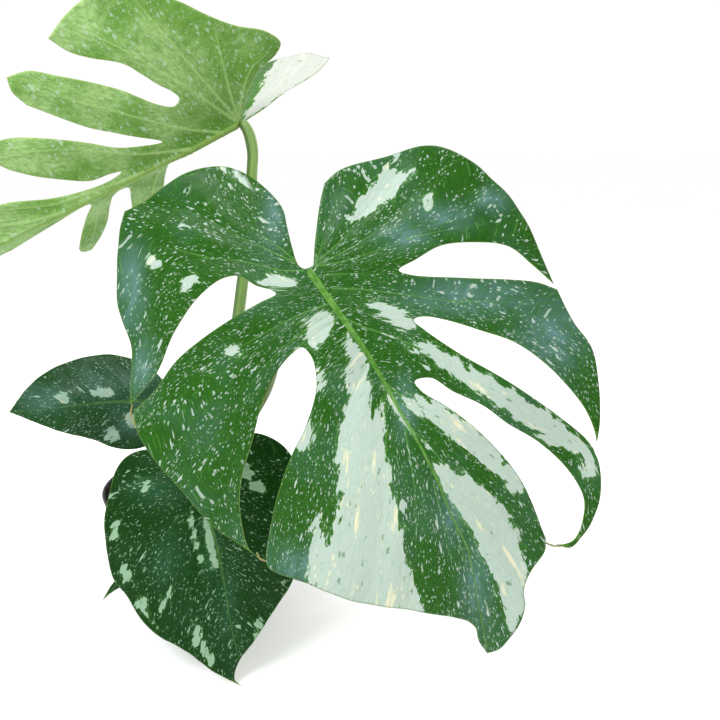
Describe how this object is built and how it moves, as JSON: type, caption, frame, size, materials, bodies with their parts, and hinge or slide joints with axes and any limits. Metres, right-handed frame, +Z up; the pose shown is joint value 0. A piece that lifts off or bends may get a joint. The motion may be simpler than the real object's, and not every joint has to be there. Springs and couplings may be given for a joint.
{
  "type": "potted monstera plant",
  "caption": "Potted monstera with white-marbled split leaves on arching stalks, rooted in a plain black nursery pot.",
  "frame": {"origin": "centre of the pot's underside", "axes": "+Z up, -Y towards the viewer who faces the large leaf, +X to that viewer's right"},
  "size_m": [0.4874, 0.3193, 0.5071],
  "materials": {
    "pot_plastic": "fine-grained black moulded plastic",
    "potting_mix": "rough dark peat and bark mix with white perlite",
    "stem_skin": "ringed green-brown stem",
    "leaf_upper": "satin deep green, speckled and marbled with white",
    "leaf_underside": "matte light green underside with pale patches",
    "stalk_skin": "smooth satin green stalk with pale flecks",
    "root_skin": "dry brown root"
  },
  "bodies": {
    "root": {"pot": "pot_plastic", "soil": "potting_mix", "stem": "stem_skin", "leaf_blade_large": "leaf_upper", "leaf_blade_heart": "leaf_upper", "leaf_blade_oval": "leaf_upper", "leaf_blade_small": "leaf_upper", "leaf_blade_folded": "leaf_underside", "petiole_large": "stalk_skin", "petiole_folded": "stalk_skin", "petiole_heart": "stalk_skin", "petiole_oval": "stalk_skin", "petiole_small": "stalk_skin", "aerial_root_left": "root_skin", "aerial_root_back": "root_skin"}
  },
  "joints": []
}
